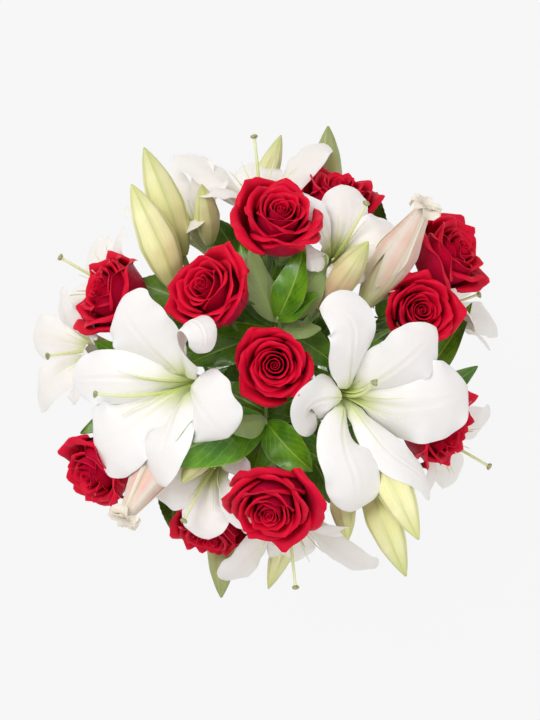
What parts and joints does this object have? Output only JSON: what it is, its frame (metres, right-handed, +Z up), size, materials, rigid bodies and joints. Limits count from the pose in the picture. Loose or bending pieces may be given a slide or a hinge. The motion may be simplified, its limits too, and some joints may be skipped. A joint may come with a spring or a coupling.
{
  "type": "flower arrangement in vase",
  "caption": "Domed arrangement of red roses, white lilies with buds, and glossy leaves, standing loose in a flared clear glass vase.",
  "frame": {"origin": "centre of the vase's foot, on the surface it stands on", "axes": "+Z up along the vase's axis; +X towards the larger lily on the right, +Y towards the rose that stands at the back"},
  "size_m": [0.4572, 0.4512, 0.5143],
  "materials": {
    "clear_glass": "clear blown glass, polished, thick base",
    "red_petal": "velvety red rose petals, darker in the folds",
    "rose_green": "matte green rose stems and leaves",
    "white_petal": "soft white lily tepals, green at the throat",
    "pink_petal": "half-open lily tepals, white flushed with pink and green ribs",
    "bud_skin": "waxy lily bud skin, pale yellow to olive with green ribs",
    "lily_green": "smooth light green lily stems and narrow leaves",
    "glossy_leaf": "glossy dark green foliage with paler undersides"
  },
  "bodies": {
    "root": {"vase": "clear_glass", "rose_bloom_centre": "red_petal", "rose_bloom_upper_left": "red_petal", "rose_bloom_right": "red_petal", "rose_bloom_top": "red_petal", "rose_bloom_bottom": "red_petal", "rose_bloom_far_right": "red_petal", "rose_bloom_far_left": "red_petal", "rose_bloom_left": "red_petal", "rose_bloom_low_right": "red_petal", "rose_bloom_far_top": "red_petal", "rose_bloom_far_bottom": "red_petal", "lily_bud_tall_yellow": "bud_skin", "lily_bud_low_yellow": "bud_skin", "lily_bud_tall_olive": "bud_skin", "lily_bud_low_olive": "bud_skin", "lily_bud_small_olive": "bud_skin", "lily_bud_low_small": "bud_skin", "lily_bud_top_split": "bud_skin", "lily_bud_bottom_split": "bud_skin", "lily_bud_top_green": "bud_skin", "lily_bud_bottom_green": "bud_skin", "lily_bud_peach": "bud_skin", "lily_bud_low_peach": "bud_skin", "lily_opening_bud_pink": "pink_petal", "lily_opening_bud_low_pink": "pink_petal", "lily_bloom_hero_left": "white_petal", "lily_bloom_hero_right": "white_petal", "lily_bloom_back_top": "white_petal", "lily_bloom_back_bottom": "white_petal", "lily_bloom_upper_right": "white_petal", "lily_bloom_lower_left": "white_petal", "lily_bloom_far_left": "white_petal", "lily_bloom_left": "white_petal", "lily_bloom_low_right": "white_petal", "lily_bloom_behind_buds": "white_petal", "lily_bloom_far_right": "white_petal", "rose_stem_centre": "rose_green", "rose_stem_upper_left": "rose_green", "rose_stem_right": "rose_green", "rose_stem_top": "rose_green", "rose_stem_bottom": "rose_green", "rose_stem_far_right": "rose_green", "rose_stem_far_left": "rose_green", "rose_stem_left": "rose_green", "rose_stem_low_right": "rose_green", "rose_stem_far_top": "rose_green", "rose_stem_far_bottom": "rose_green", "lily_stem_left": "lily_green", "lily_stem_right": "lily_green", "lily_stem_upper_left": "lily_green", "lily_stem_low_right": "lily_green", "lily_stem_top": "lily_green", "lily_stem_bottom": "lily_green", "lily_stem_upper_right": "lily_green", "lily_stem_lower_left": "lily_green", "foliage_sprig_upper": "glossy_leaf", "foliage_sprig_lower": "glossy_leaf", "foliage_sprig_right_collar": "glossy_leaf", "foliage_sprig_left_collar": "glossy_leaf"}
  },
  "joints": []
}
